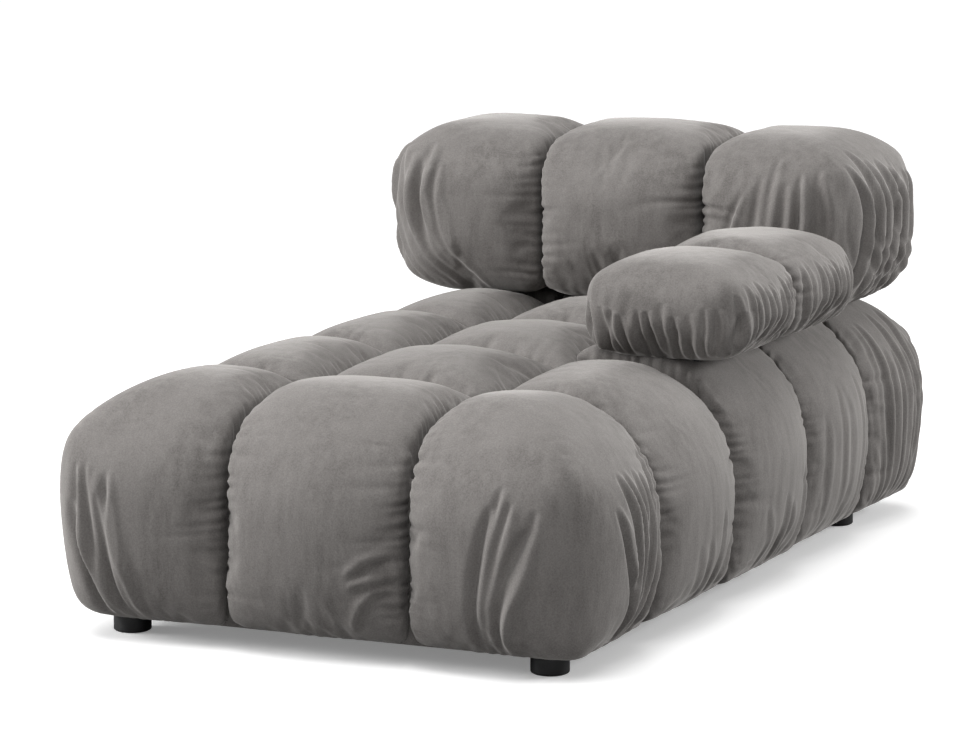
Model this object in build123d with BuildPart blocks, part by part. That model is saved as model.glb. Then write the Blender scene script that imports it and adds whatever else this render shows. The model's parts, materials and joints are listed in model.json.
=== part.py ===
"""A channel-tufted daybed: a box-framed seat, a plug-in backrest, a plug-in armrest and four levelling feet.

Millimetres. +Z up, +X to the armrest side, +Y from the foot end to the backrest.
The origin is on the floor under the middle of the seat.
"""

from build123d import *
import os

# ---- Seat: a grid of pads round a timber box frame ----
COLUMNS = 3
ROWS = 5
SEAT_WIDTH = 930
SEAT_LENGTH = 1650
COLUMN = SEAT_WIDTH / COLUMNS
ROW = SEAT_LENGTH / ROWS
SEAT_TOP = 411
SEAT_TOP_UNDER_REST = 397  # a rest presses the pads under it this flat
SEAT_BOTTOM = 29
SEAT_CROWN = 15
PRESSED_CROWN = 2
SEAT_EDGE_TOP_R = 150
SEAT_EDGE_BOTTOM_R = 100
SEAT_CORNER_R = 140
SEAM_R = 50
CLOTH = 2  # velvet and wadding
POCKET_GAP = 0.2
SHARP_R = 3
SIDE_EASE = 0.95
PLAN_EASE = 0.9
EASE = 0.6

# ---- Frame ----
FRAME_WIDTH = 800
FRAME_LENGTH = 1520
FRAME_BOTTOM = 45
FRAME_TOP = 245
BOARD = 25
CROSS_RAIL_BOTTOM = 105
CROSS_RAIL_TOP = 205
CROSS_RAIL_Y = (-330, 70, 612.5)
ENVELOPE_GAP = 2
ENVELOPE_TOP = 259
UNDERSIDE_LIP = 5
UNDERSIDE_LIP_END = 10

# ---- Springs ----
SPRING_Y = [-650 + 120 * k for k in range(10)] + [515, 645]
WIRE_R = 1.9
SPRING_SWING = 22
SPRING_PITCH = 31
SPRING_BEND_R = 13
SPRING_LEGS = 25
SPRING_Z = FRAME_TOP + WIRE_R + 0.1
CLIP_LENGTH = 16
CLIP_WALL = 1.5
CLIP_GAP = 0.3
FELT = 4
FELT_BOTTOM = 253.5

# ---- Rests ----
BACK_WIDTH = 915
BACK_FRONT = 372
BACK_REAR = 778
BACK_BOTTOM = 401
BACK_TOP = 700
BACK_COLUMN = BACK_WIDTH / COLUMNS
ARM_INNER = 180
ARM_OUTER = 465
ARM_FRONT = -202
ARM_REAR = 368
ARM_BOTTOM = 399
ARM_TOP = 564
ARM_PADS = 2
ARM_ROW = (ARM_REAR - ARM_FRONT) / ARM_PADS
CORE_BOARD = 18
CORE_Z = 440
FIT = 0.5  # room between foam and timber

# ---- Posts and sockets that carry the rests ----
POST_R = 12.5
POST_WALL = 2
POST_FOOT_Z = 100
BACK_POSTS = ((-155, 570), (155, 570))
ARM_POSTS = ((345, -110), (345, 250))
FLANGE = 80
FLANGE_T = 3
FLANGE_HOLES = 60
SCREW_R = 2
LINER_BORE_R = 12.8
LINER_R = 15.5
LINER_COLLAR_R = 21
LINER_COLLAR_T = 2
LINER_BOTTOM = 62
BLOCK = 60
BLOCK_BOTTOM = 60
BLOCK_TOP = 200
BLOCK_BORE_R = 15.6
POST_CHANNEL_R = 15.5

# ---- Feet ----
FOOT_X = 360
FOOT_Y = {"front": -715, "rear": 570}
FOOT_R = 30
FOOT_TOP = 42.7
FOOT_GLIDE = 3
GLIDE_R = 26
STUD_R = 4
STUD_TOP = 98
FOOT_BLOCK = 100
TEE_NUT_R = 5.5
TEE_NUT_BORE_R = 4.1
TEE_NUT_FLANGE_R = 10
TEE_NUT_FLANGE_T = 1.5
TEE_NUT_LENGTH = 12


def save(part, name):
    """Labels a finished piece and writes it."""
    part.label = name
    export_step(part, f"parts/{name}.step")


def rounded(plane, across, up, radii, crown=0):
    """A box outline with its own radius at each corner and a crowned top edge.

    across and up are (low, high); radii run lower left, lower right, upper right, upper left.
    """
    (left, right), (low, high) = across, up
    shoulder = high - crown
    with BuildSketch(plane) as outline:
        with BuildLine():
            Polyline((left, shoulder), (left, low), (right, low), (right, shoulder))
            if crown:
                ThreePointArc((right, shoulder), ((left + right) / 2, high), (left, shoulder))
            else:
                Line((right, shoulder), (left, shoulder))
        make_face()
        corners = ((left, low), (right, low), (right, shoulder), (left, shoulder))
        for corner, radius in zip(corners, radii):
            fillet(outline.vertices().sort_by_distance(corner)[0], radius)
    return outline.sketch


def pillow(x, y, z, front_view, side_view, plan, crown=0):
    """One pad: the part common to its rounded front view, side view and plan.

    front_view radii start at low x, low z; side_view at low y, low z; plan at low x, low y.
    The three views' radii and flat sides are eased apart, as equal ones don't meet in clean edges:
    the front view sets x and z, the side view sets y, and the plan only rounds the corners.
    """
    side_view = [radius * SIDE_EASE + 1 for radius in side_view]
    plan = [radius * PLAN_EASE + 2 for radius in plan]
    reach = SEAT_LENGTH
    front = rounded(Plane.XZ.offset(-reach), x, z, front_view, crown)
    tall = (z[0] - EASE, z[1] + EASE)
    side = rounded(Plane.YZ.offset(-reach), y, tall, side_view, crown and crown + EASE)
    top = rounded(Plane.XY.offset(-reach), shrink(x, -EASE), shrink(y, -EASE), plan)
    with BuildPart() as pad:
        extrude(front, amount=2 * reach)
        extrude(side, amount=2 * reach, mode=Mode.INTERSECT)
        extrude(top, amount=2 * reach, mode=Mode.INTERSECT)
    return pad.part


def shrink(span, inset):
    return span[0] + inset, span[1] - inset


def seat_block(row, column, inset):
    """The seat pad of one grid cell, inset on every side by the cloth's thickness or by nothing."""
    first_column, last_column = column == 0, column == COLUMNS - 1
    first_row, last_row = row == 0, row == ROWS - 1
    left = -SEAT_WIDTH / 2 + column * COLUMN
    near = -SEAT_LENGTH / 2 + row * ROW
    under_rest = last_row or (last_column and row in (2, 3))
    top = SEAT_TOP_UNDER_REST if under_rest else SEAT_TOP
    edge = {True: SEAT_EDGE_TOP_R - inset, False: SEAM_R - inset}
    foot = {True: SEAT_EDGE_BOTTOM_R - inset, False: SHARP_R}

    def corner(outer_x, outer_y):
        if outer_x and outer_y:
            return SEAT_CORNER_R - inset
        return SEAM_R - inset if outer_x or outer_y else SHARP_R

    return pillow(
        shrink((left, left + COLUMN), inset),
        shrink((near, near + ROW), inset),
        shrink((SEAT_BOTTOM, top), inset),
        (foot[first_column], foot[last_column], edge[last_column], edge[first_column]),
        (foot[first_row], foot[last_row], edge[last_row], edge[first_row]),
        (
            corner(first_column, first_row),
            corner(last_column, first_row),
            corner(last_column, last_row),
            corner(first_column, last_row),
        ),
        PRESSED_CROWN if under_rest else SEAT_CROWN,
    )


BACK_SEAM_R = 40
BACK_TOP_R = 130
BACK_BOTTOM_R = 110
BACK_CORNER_R = 140


def back_block(column, inset):
    """One of the backrest's pads."""
    first, last = column == 0, column == COLUMNS - 1
    left = -BACK_WIDTH / 2 + column * BACK_COLUMN
    foot = {True: BACK_BOTTOM_R - inset, False: BACK_SEAM_R - inset}
    edge = {True: BACK_TOP_R - inset, False: BACK_SEAM_R - inset}
    corner = {True: BACK_CORNER_R - inset, False: BACK_SEAM_R - inset}
    return pillow(
        shrink((left, left + BACK_COLUMN), inset),
        shrink((BACK_FRONT, BACK_REAR), inset),
        shrink((BACK_BOTTOM, BACK_TOP), inset),
        (foot[first], foot[last], edge[last], edge[first]),
        (foot[True], foot[True], edge[True], edge[True]),
        (corner[first], corner[last], corner[last], corner[first]),
    )


ARM_EDGE_R = 75
ARM_SEAM_R = 30
ARM_REAR_R = 60


def arm_block(row, inset):
    """One of the armrest's pads, the first being the free front end."""
    first, last = row == 0, row == ARM_PADS - 1
    near = ARM_FRONT + row * ARM_ROW
    round_r = ARM_EDGE_R - inset
    low_y = round_r if first else ARM_SEAM_R - inset
    high_y = ARM_REAR_R - inset if last else ARM_SEAM_R - inset
    return pillow(
        shrink((ARM_INNER, ARM_OUTER), inset),
        shrink((near, near + ARM_ROW), inset),
        shrink((ARM_BOTTOM, ARM_TOP), inset),
        (round_r, round_r, round_r, round_r),
        (low_y, high_y, high_y, low_y),
        (low_y, low_y, high_y, high_y),
    )


def box_between(x, y, z, mode=Mode.ADD):
    """A box given by its low and high planes."""
    centre = ((x[0] + x[1]) / 2, (y[0] + y[1]) / 2, (z[0] + z[1]) / 2)
    with Locations(centre):
        Box(x[1] - x[0], y[1] - y[0], z[1] - z[0], mode=mode)


def frame_space():
    """Takes out the room that the timber frame fills, and the opening under it."""
    half_x = FRAME_WIDTH / 2 + ENVELOPE_GAP
    half_y = FRAME_LENGTH / 2 + ENVELOPE_GAP
    box_between((-half_x, half_x), (-half_y, half_y), (FRAME_BOTTOM, ENVELOPE_TOP), Mode.SUBTRACT)
    open_x = FRAME_WIDTH / 2 - UNDERSIDE_LIP
    open_y = FRAME_LENGTH / 2 - UNDERSIDE_LIP_END
    box_between((-open_x, open_x), (-open_y, open_y), (0, FRAME_BOTTOM), Mode.SUBTRACT)


def post_channels(posts, z, radius=POST_CHANNEL_R):
    """Takes out round channels for the posts between two heights."""
    for x, y in posts:
        with Locations((x, y, (z[0] + z[1]) / 2)):
            Cylinder(radius, z[1] - z[0], mode=Mode.SUBTRACT)


def seat_pads():
    for row in range(ROWS):
        for column in range(COLUMNS):
            blank = seat_block(row, column, CLOTH)
            with BuildPart() as pad:
                add(blank)
                frame_space()
                post_channels(BACK_POSTS + ARM_POSTS, (ENVELOPE_TOP, SEAT_TOP))
            save(pad.part, f"seat_foam_row{row + 1}_column{column + 1}")


def seat_cover():
    """The velvet cover: a pocket round every seat pad, a hair apart so that each stays one closed solid."""
    pockets = []
    for row in range(ROWS):
        for column in range(COLUMNS):
            outer = seat_block(row, column, POCKET_GAP)
            inner = seat_block(row, column, CLOTH)
            with BuildPart() as pocket:
                add(outer)
                add(inner, mode=Mode.SUBTRACT)
                frame_space()
                post_channels(BACK_POSTS + ARM_POSTS, (ENVELOPE_TOP, SEAT_TOP))
            pockets += pocket.solids()
    save(Compound(children=pockets), "seat_cover")


def core_space(x, y, z):
    """Takes out the room round a core board."""
    box_between(*((low - FIT, high + FIT) for low, high in (x, y, z)), mode=Mode.SUBTRACT)


def flange_space(posts):
    """Takes out the room round the posts' flanges and the posts below them."""
    for x, y in posts:
        half = FLANGE / 2 + FIT
        box_between(
            (x - half, x + half), (y - half, y + half), (CORE_Z - FLANGE_T - FIT - 2, CORE_Z), Mode.SUBTRACT
        )
    post_channels(posts, (BACK_BOTTOM - 10, CORE_Z), POST_R + 2)


BACK_BOARD_X = (-385, 385)
BACK_BOARD_Y = (480, 660)
BACK_PANEL_Y = (561, 579)
BACK_PANEL_Z = (CORE_Z + CORE_BOARD, 640)
ARM_BOARD_X = (214, 434)
ARM_BOARD_Y = (-150, 318)
BOARD_Z = (CORE_Z, CORE_Z + CORE_BOARD)


def backrest():
    for column in range(COLUMNS):
        blank = back_block(column, CLOTH)
        with BuildPart() as pad:
            add(blank)
            core_space(BACK_BOARD_X, BACK_BOARD_Y, BOARD_Z)
            core_space(BACK_BOARD_X, BACK_PANEL_Y, BACK_PANEL_Z)
            flange_space(BACK_POSTS)
        save(pad.part, f"backrest_foam_{column + 1}")

    outer = [back_block(column, 0) for column in range(COLUMNS)]
    inner = [back_block(column, CLOTH) for column in range(COLUMNS)]
    with BuildPart() as cover:
        add(outer)
        add(inner, mode=Mode.SUBTRACT)
        core_space(BACK_BOARD_X, BACK_BOARD_Y, BOARD_Z)
        core_space(BACK_BOARD_X, BACK_PANEL_Y, BACK_PANEL_Z)
        flange_space(BACK_POSTS)
    save(cover.part, "backrest_cover")

    with BuildPart() as board:
        box_between(BACK_BOARD_X, BACK_BOARD_Y, BOARD_Z)
        screw_holes(BACK_POSTS)
    save(board.part, "backrest_base_board")
    with BuildPart() as panel:
        box_between(BACK_BOARD_X, BACK_PANEL_Y, BACK_PANEL_Z)
        fillet(panel.edges().filter_by(Axis.Y).group_by(Axis.Z)[-1], 60)
    save(panel.part, "backrest_panel")
    posts("backrest", BACK_POSTS)


def armrest():
    for row in range(ARM_PADS):
        blank = arm_block(row, CLOTH)
        with BuildPart() as pad:
            add(blank)
            core_space(ARM_BOARD_X, ARM_BOARD_Y, BOARD_Z)
            flange_space(ARM_POSTS)
        save(pad.part, f"armrest_foam_{row + 1}")

    outer = [arm_block(row, 0) for row in range(ARM_PADS)]
    inner = [arm_block(row, CLOTH) for row in range(ARM_PADS)]
    with BuildPart() as cover:
        add(outer)
        add(inner, mode=Mode.SUBTRACT)
        core_space(ARM_BOARD_X, ARM_BOARD_Y, BOARD_Z)
        flange_space(ARM_POSTS)
    save(cover.part, "armrest_cover")

    with BuildPart() as board:
        box_between(ARM_BOARD_X, ARM_BOARD_Y, BOARD_Z)
        fillet(board.edges().filter_by(Axis.Z), 25)
        screw_holes(ARM_POSTS)
    save(board.part, "armrest_base_board")
    posts("armrest", ARM_POSTS)


SCREW_LENGTH = 15
SCREW_HEAD_R = 4
SCREW_HEAD_T = 2
SCREW_FIT = 0.15


def flange_points(posts_at):
    """The four screw places of each flange."""
    half = FLANGE_HOLES / 2
    return [(x + sx * half, y + sy * half) for x, y in posts_at for sx in (-1, 1) for sy in (-1, 1)]


def screw_holes(posts_at):
    """Takes pilot holes out of a core board's underside."""
    depth = SCREW_LENGTH - FLANGE_T
    for x, y in flange_points(posts_at):
        with Locations((x, y, CORE_Z + depth / 2)):
            Cylinder(SCREW_R + SCREW_FIT, depth, mode=Mode.SUBTRACT)


def posts(rest, posts_at):
    """A rest's two steel tubes with their flanges, and the screws that hold them to its base board."""
    for number, (x, y) in enumerate(posts_at, 1):
        low = CORE_Z - FLANGE_T
        with BuildPart() as post:
            with Locations((x, y, (POST_FOOT_Z + low) / 2)):
                Cylinder(POST_R, low - POST_FOOT_Z)
            chamfer(post.edges().filter_by(GeomType.CIRCLE).group_by(Axis.Z)[0], 1.5)
            with Locations((x, y, low + FLANGE_T / 2)):
                Box(FLANGE, FLANGE, FLANGE_T)
            fillet(post.edges().filter_by(Axis.Z).sort_by(Axis.Z)[-4:], 8)
            with Locations((x, y, (POST_FOOT_Z + CORE_Z) / 2)):
                Cylinder(POST_R - POST_WALL, CORE_Z - POST_FOOT_Z, mode=Mode.SUBTRACT)
            with Locations(*[(*place, CORE_Z) for place in flange_points([(x, y)])]):
                Hole(SCREW_R + SCREW_FIT, FLANGE_T)
        save(post.part, f"{rest}_post_{number}")

    with BuildPart() as screws:
        for x, y in flange_points(posts_at):
            with Locations((x, y, CORE_Z - FLANGE_T + SCREW_LENGTH / 2)):
                Cylinder(SCREW_R, SCREW_LENGTH - 0.2)
            with Locations((x, y, CORE_Z - FLANGE_T - SCREW_HEAD_T / 2)):
                Cylinder(SCREW_HEAD_R, SCREW_HEAD_T)
    save(screws.part, f"{rest}_post_screws")


RAIL_SCREW_R = 2.5
RAIL_SCREW_LENGTH = 70
RAIL_SCREW_HEAD_R = 5
RAIL_SCREW_HEAD_T = 3
RAIL_SCREW_FIT = 0.15
END_RAIL_SCREW_Z = (75, 145, 215)
CROSS_RAIL_SCREW_Z = (130, 180)


def rail_screw_places():
    """(y, z) of every screw through a side rail into the end of another rail."""
    ends = [FRAME_LENGTH / 2 - BOARD / 2, -FRAME_LENGTH / 2 + BOARD / 2]
    places = [(y, z) for y in ends for z in END_RAIL_SCREW_Z]
    return places + [(y, z) for y in CROSS_RAIL_Y for z in CROSS_RAIL_SCREW_Z]


def screw_shapes(side, length, radius, head_r, head_t, mode=Mode.ADD):
    """Screws lying along X, flush with a side rail's outer face; side is -1 or 1."""
    face = FRAME_WIDTH / 2
    for y, z in rail_screw_places():
        with Locations(Location((side * (face - length / 2), y, z), (0, 90, 0))):
            Cylinder(radius, length, mode=mode)
        with Locations(Location((side * (face - head_t / 2), y, z), (0, 90, 0))):
            Cylinder(head_r, head_t, mode=mode)


def screw_sockets():
    """Takes the screws' clearance and pilot holes out of whichever rail is being made."""
    for side in (-1, 1):
        screw_shapes(
            side,
            RAIL_SCREW_LENGTH + 1,
            RAIL_SCREW_R + RAIL_SCREW_FIT,
            RAIL_SCREW_HEAD_R + RAIL_SCREW_FIT,
            RAIL_SCREW_HEAD_T,
            Mode.SUBTRACT,
        )


def frame():
    half_x, half_y = FRAME_WIDTH / 2, FRAME_LENGTH / 2
    inside_x = half_x - BOARD
    height = (FRAME_BOTTOM, FRAME_TOP)
    for name, side in (("left", -1), ("right", 1)):
        with BuildPart() as rail:
            box_between(sorted((side * inside_x, side * half_x)), (-half_y, half_y), height)
            screw_sockets()
        save(rail.part, f"side_rail_{name}")
    for name, side in (("front", -1), ("rear", 1)):
        ends = sorted((side * (half_y - BOARD), side * half_y))
        with BuildPart() as rail:
            box_between((-inside_x, inside_x), ends, height)
            screw_sockets()
        save(rail.part, f"end_rail_{name}")
    for number, y in enumerate(CROSS_RAIL_Y, 1):
        span = (y - BOARD / 2, y + BOARD / 2)
        with BuildPart() as rail:
            box_between((-inside_x, inside_x), span, (CROSS_RAIL_BOTTOM, CROSS_RAIL_TOP))
            screw_sockets()
        save(rail.part, f"cross_rail_{number}")
    with BuildPart() as screws:
        for side in (-1, 1):
            screw_shapes(side, RAIL_SCREW_LENGTH, RAIL_SCREW_R, RAIL_SCREW_HEAD_R, RAIL_SCREW_HEAD_T - 0.2)
    save(screws.part, "frame_screws")


def spring_path():
    """One sinuous spring's centreline: square waves with rounded corners."""
    points = []
    for leg in range(SPRING_LEGS):
        x = (leg - (SPRING_LEGS - 1) / 2) * SPRING_PITCH
        ends = [(x, -SPRING_SWING), (x, SPRING_SWING)]
        points += ends if leg % 2 == 0 else ends[::-1]
    with BuildLine() as path:
        FilletPolyline(*points, radius=SPRING_BEND_R)
    return path.line


def springs():
    path = spring_path()
    start = path @ 0
    with BuildSketch(Plane(origin=start, z_dir=path % 0)) as wire:
        Circle(WIRE_R)
    with BuildPart() as one:
        sweep(wire.sketch, path=path)
    with BuildPart() as group:
        with Locations(*[(0, y, SPRING_Z) for y in SPRING_Y]):
            add(one.part)
    save(group.part, "seat_springs")

    end_x = (SPRING_LEGS - 1) / 2 * SPRING_PITCH
    inner = WIRE_R + CLIP_GAP
    outer = inner + CLIP_WALL
    top = SPRING_Z + WIRE_R + CLIP_GAP
    with BuildPart() as clips:
        for side in (-1, 1):
            for y in SPRING_Y:
                x = side * end_x
                span = (y - CLIP_LENGTH / 2, y + CLIP_LENGTH / 2)
                box_between((x - outer, x + outer), span, (FRAME_TOP, top + CLIP_WALL))
        for side in (-1, 1):
            x = side * end_x
            box_between((x - inner, x + inner), (-FRAME_LENGTH, FRAME_LENGTH), (0, top), Mode.SUBTRACT)
    save(clips.part, "spring_clips")

    half_x, half_y = FRAME_WIDTH / 2, FRAME_LENGTH / 2
    with BuildPart() as felt:
        box_between((-half_x, half_x), (-half_y, half_y), (FELT_BOTTOM, FELT_BOTTOM + FELT))
        fillet(felt.edges().filter_by(Axis.Z), 30)
        post_channels(BACK_POSTS + ARM_POSTS, (FELT_BOTTOM, FELT_BOTTOM + FELT))
    save(felt.part, "spring_felt")


def sockets():
    """Bored hardwood blocks on the rails, each with a steel liner that a post slides into."""
    places = BACK_POSTS + ARM_POSTS
    with BuildPart() as blocks:
        with Locations(*[(x, y, (BLOCK_BOTTOM + BLOCK_TOP) / 2) for x, y in places]):
            Box(BLOCK, BLOCK, BLOCK_TOP - BLOCK_BOTTOM)
        post_channels(places, (BLOCK_BOTTOM, BLOCK_TOP), BLOCK_BORE_R)
    save(blocks.part, "socket_blocks")
    with BuildPart() as liners:
        with Locations(*[(x, y, (LINER_BOTTOM + BLOCK_TOP) / 2) for x, y in places]):
            Cylinder(LINER_R, BLOCK_TOP - LINER_BOTTOM)
        with Locations(*[(x, y, BLOCK_TOP + LINER_COLLAR_T / 2) for x, y in places]):
            Cylinder(LINER_COLLAR_R, LINER_COLLAR_T)
        post_channels(places, (LINER_BOTTOM + 4, BLOCK_TOP + LINER_COLLAR_T), LINER_BORE_R)
    save(liners.part, "socket_liners")


def foot_places():
    """(name, x, y) of each foot."""
    sides = (("left", -1), ("right", 1))
    return [(f"{end}_{side}", sign * FOOT_X, y) for end, y in FOOT_Y.items() for side, sign in sides]


def feet():
    for name, x, y in foot_places():
        with BuildPart() as foot:
            with Locations((x, y, (1 + FOOT_TOP) / 2)):
                Cylinder(FOOT_R, FOOT_TOP - 1)
            rims = foot.edges().filter_by(GeomType.CIRCLE).sort_by(Axis.Z)
            fillet(rims[0], 3)
            fillet(foot.edges().filter_by(GeomType.CIRCLE).sort_by(Axis.Z)[-1], 1)
            with Locations((x, y, FOOT_GLIDE / 2)):
                Cylinder(GLIDE_R + 0.1, FOOT_GLIDE, mode=Mode.SUBTRACT)
            with Locations((x, y, (FOOT_TOP + 15) / 2)):
                Cylinder(STUD_R, FOOT_TOP - 15, mode=Mode.SUBTRACT)
        save(foot.part, f"foot_{name}")
        with BuildPart() as stud:
            with Locations((x, y, (STUD_TOP + 15) / 2)):
                Cylinder(STUD_R, STUD_TOP - 15)
            chamfer(stud.edges().filter_by(GeomType.CIRCLE).sort_by(Axis.Z)[-1], 1)
        save(stud.part, f"foot_stud_{name}")
    with BuildPart() as blocks:
        for _, x, y in foot_places():
            sign = 1 if x > 0 else -1
            inner = sign * (FRAME_WIDTH / 2 - BOARD)
            near = max(y - FOOT_BLOCK / 2, BOARD - FRAME_LENGTH / 2)
            far = y + FOOT_BLOCK / 2
            box_between(
                sorted((inner, inner - sign * FOOT_BLOCK)), (near, far), (FRAME_BOTTOM, CROSS_RAIL_BOTTOM)
            )
        for _, x, y in foot_places():
            with Locations((x, y, (FRAME_BOTTOM + CROSS_RAIL_BOTTOM) / 2)):
                Cylinder(TEE_NUT_R, CROSS_RAIL_BOTTOM - FRAME_BOTTOM, mode=Mode.SUBTRACT)
    save(blocks.part, "foot_blocks")
    with BuildPart() as nuts:
        top = CROSS_RAIL_BOTTOM
        for _, x, y in foot_places():
            with Locations((x, y, top - TEE_NUT_LENGTH / 2)):
                Cylinder(TEE_NUT_R, TEE_NUT_LENGTH)
            with Locations((x, y, top + TEE_NUT_FLANGE_T / 2)):
                Cylinder(TEE_NUT_FLANGE_R, TEE_NUT_FLANGE_T)
        for _, x, y in foot_places():
            with Locations((x, y, top)):
                Cylinder(TEE_NUT_BORE_R, 4 * TEE_NUT_LENGTH, mode=Mode.SUBTRACT)
    save(nuts.part, "tee_nuts")


def glides():
    for name, x, y in foot_places():
        with BuildPart() as glide:
            with Locations((x, y, FOOT_GLIDE / 2)):
                Cylinder(GLIDE_R, FOOT_GLIDE)
        save(glide.part, f"foot_glide_{name}")


DUST_COVER = 2
DUST_COVER_HOLE_R = 6


def dust_cover():
    half_x = FRAME_WIDTH / 2 - UNDERSIDE_LIP - 1
    half_y = FRAME_LENGTH / 2 - UNDERSIDE_LIP_END - 1
    with BuildPart() as sheet:
        box_between((-half_x, half_x), (-half_y, half_y), (FRAME_BOTTOM - DUST_COVER, FRAME_BOTTOM))
        for _, x, y in foot_places():
            with Locations((x, y, FRAME_BOTTOM)):
                Cylinder(DUST_COVER_HOLE_R, 10, mode=Mode.SUBTRACT)
    save(sheet.part, "dust_cover")


os.makedirs("parts", exist_ok=True)
frame()
springs()
sockets()
feet()
glides()
dust_cover()
seat_pads()
backrest()
armrest()
seat_cover()
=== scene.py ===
import json
import math

import bpy
import numpy as np
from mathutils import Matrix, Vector


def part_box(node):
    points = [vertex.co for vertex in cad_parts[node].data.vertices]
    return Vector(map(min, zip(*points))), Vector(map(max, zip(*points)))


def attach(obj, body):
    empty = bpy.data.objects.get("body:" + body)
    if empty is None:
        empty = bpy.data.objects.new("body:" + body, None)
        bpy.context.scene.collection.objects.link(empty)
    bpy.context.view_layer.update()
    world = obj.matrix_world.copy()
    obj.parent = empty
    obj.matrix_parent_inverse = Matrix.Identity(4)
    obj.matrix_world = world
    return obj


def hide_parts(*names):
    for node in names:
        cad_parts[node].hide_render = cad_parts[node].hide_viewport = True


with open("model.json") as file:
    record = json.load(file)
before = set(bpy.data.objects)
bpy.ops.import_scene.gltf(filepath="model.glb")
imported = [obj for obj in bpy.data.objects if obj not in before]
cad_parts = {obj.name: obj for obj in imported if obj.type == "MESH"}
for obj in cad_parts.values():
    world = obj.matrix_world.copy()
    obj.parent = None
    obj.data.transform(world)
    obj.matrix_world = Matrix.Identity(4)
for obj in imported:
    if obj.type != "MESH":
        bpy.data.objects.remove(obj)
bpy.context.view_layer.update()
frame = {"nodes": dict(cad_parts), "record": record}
nodes = frame["nodes"]

# ---------------------------------------------------------------- camera, floor and light
YAW, PITCH = -0.4262, 0.1545
camera_data = bpy.data.cameras.new("camera")
camera_data.lens = 148.5
camera_data.sensor_width = 36
camera = bpy.data.objects.new("camera", camera_data)
bpy.context.scene.collection.objects.link(camera)
camera.location = (2.7303, -6.1603, 1.3923)
look = Vector((math.sin(YAW) * math.cos(PITCH), math.cos(YAW) * math.cos(PITCH), -math.sin(PITCH)))
camera.rotation_euler = look.to_track_quat("-Z", "Y").to_euler()
camera_data.clip_end = 200
bpy.context.scene.camera = camera


def link(name, mesh):
    piece = bpy.data.objects.new(name, mesh)
    bpy.context.scene.collection.objects.link(piece)
    return piece


def area_light(name, place, target, size, power):
    data = bpy.data.lights.new(name, "AREA")
    data.shape = "RECTANGLE"
    data.size, data.size_y = size
    data.energy = power
    lamp = bpy.data.objects.new(name, data)
    bpy.context.scene.collection.objects.link(lamp)
    lamp.location = place
    lamp.rotation_euler = (Vector(target) - Vector(place)).to_track_quat("-Z", "Y").to_euler()


def sun(name, toward, strength, angle):
    data = bpy.data.lights.new(name, "SUN")
    data.energy = strength
    data.angle = math.radians(angle)
    lamp = bpy.data.objects.new(name, data)
    bpy.context.scene.collection.objects.link(lamp)
    lamp.rotation_euler = Vector(toward).to_track_quat("-Z", "Y").to_euler()


bpy.context.scene.view_settings.view_transform = "Standard"
sun("key", toward=(0.24, 0.03, -1.0), strength=2.02, angle=50)
area_light("front_top", place=(1.6, -5.0, 3.4), target=(0.1, 0.3, 0.45), size=(2.6, 1.6), power=24)
area_light("right_rear", place=(4.0, 3.2, 1.9), target=(0.3, 0.5, 0.3), size=(2.0, 1.4), power=190)
area_light("over_seat", place=(1.2, -1.9, 3.0), target=(0.1, 0.4, 0.5), size=(1.8, 1.4), power=33)
area_light("left_strip", place=(-3.9, -2.0, 1.5), target=(0, 0, 0.3), size=(1.8, 1.8), power=185)

world = bpy.data.worlds.new("studio")
bpy.context.scene.world = world
world.use_nodes = True
background = world.node_tree.nodes["Background"]
background.inputs["Color"].default_value = (1, 1, 1, 1)
background.inputs["Strength"].default_value = 0.26


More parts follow.
